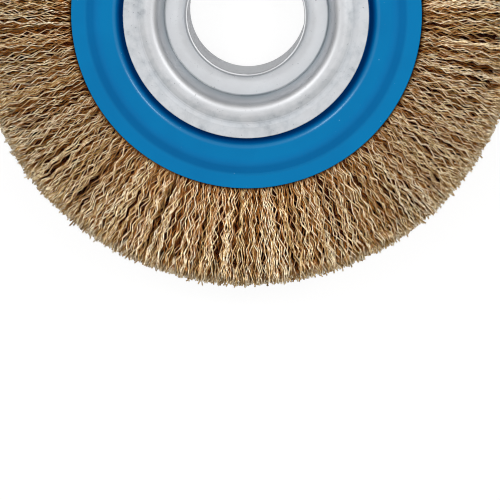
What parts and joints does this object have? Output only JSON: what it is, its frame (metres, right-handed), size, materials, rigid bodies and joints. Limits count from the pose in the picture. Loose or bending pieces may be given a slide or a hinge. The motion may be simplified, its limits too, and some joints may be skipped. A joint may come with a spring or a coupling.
{
  "type": "wire wheel brush",
  "caption": "Crimped wire wheel for a bench grinder: brass-coated steel wire clamped between painted face plates and galvanised hub flanges round a plain bore.",
  "frame": {"origin": "centre of the bore, halfway across the wheel", "axes": "+Z along the wheel's axis, out of the front; the wheel lies flat on its back wire tips"},
  "size_m": [0.15, 0.1496, 0.0216],
  "materials": {
    "coated_wire": "brass-coated steel wire, drawn and crimped",
    "plain_steel": "drawn steel, oiled",
    "blue_paint": "gloss enamel on pressed steel",
    "galvanised_steel": "bright zinc on pressed steel, slightly smudged"
  },
  "bodies": {
    "root": {"wire_row_front": "coated_wire", "wire_row_middle": "coated_wire", "wire_row_back": "coated_wire", "retaining_hoop_front": "plain_steel", "retaining_hoop_middle": "plain_steel", "retaining_hoop_back": "plain_steel", "face_plate_front": "blue_paint", "face_plate_back": "blue_paint", "hub_flange_front": "galvanised_steel", "hub_flange_back": "galvanised_steel", "bore_sleeve": "galvanised_steel", "hub_spacer": "plain_steel"}
  },
  "joints": []
}
